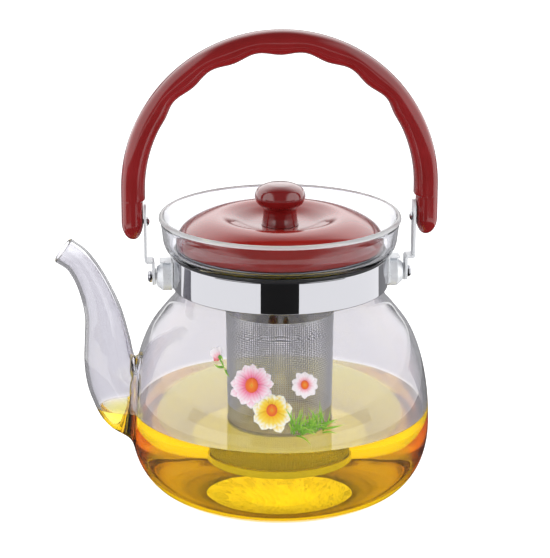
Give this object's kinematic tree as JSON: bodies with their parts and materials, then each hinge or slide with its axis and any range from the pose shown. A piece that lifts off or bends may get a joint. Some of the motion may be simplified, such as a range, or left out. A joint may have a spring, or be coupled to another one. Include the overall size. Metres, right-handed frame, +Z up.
{
  "type": "glass teapot",
  "caption": "Glass teapot with a curved spout, steel neck band, red folding bail handle, hanging mesh infuser and knobbed red lid.",
  "frame": {"origin": "centre of the flat glass base, on the pot's axis", "axes": "+Z up, spout towards -X, bail handle in the XZ plane"},
  "size_m": [0.191, 0.152, 0.2376],
  "materials": {
    "glass": "clear, fire polished",
    "polished_steel": "mirror polished stainless steel",
    "satin_steel": "satin",
    "steel_mesh": "fine woven mesh",
    "red_plastic": "high gloss moulded",
    "silicone": "matte, food grade",
    "rubber": "matte black seal"
  },
  "bodies": {
    "root": {"glass_body": "glass", "glass_spout": "glass", "neck_band": "polished_steel", "band_liner": "rubber", "pivot_plate_left": "satin_steel", "pivot_plate_right": "satin_steel", "pivot_boss_left": "satin_steel", "pivot_boss_right": "satin_steel", "pivot_washer_left": "satin_steel", "pivot_washer_right": "satin_steel", "pivot_screw_left": "polished_steel", "pivot_screw_right": "polished_steel"},
    "bail": {"bail_grip": "red_plastic", "bail_bracket_left": "satin_steel", "bail_bracket_right": "satin_steel", "bail_rivet_left": "polished_steel", "bail_rivet_right": "polished_steel"},
    "infuser": {"infuser_flange": "polished_steel", "infuser_sleeve": "polished_steel", "infuser_mesh": "steel_mesh", "infuser_ring": "polished_steel", "infuser_base": "steel_mesh"},
    "lid": {"lid_shell": "red_plastic", "lid_base": "red_plastic", "lid_seal": "silicone", "lid_knob": "red_plastic", "knob_washer": "satin_steel", "knob_screw": "satin_steel"}
  },
  "joints": [
    {"name": "bail_fold", "type": "hinge", "parent": "root", "child": "bail", "pos_m": [0, 0, 0.1136], "axis": [1, 0, 0], "range_deg": [-130, 130]},
    {"name": "infuser_lift", "type": "slide", "parent": "root", "child": "infuser", "axis": [0, 0, 1], "range_m": [0, 0.06]},
    {"name": "lid_lift", "type": "slide", "parent": "infuser", "child": "lid", "axis": [0, 0, 1], "range_m": [0, 0.06]}
  ]
}
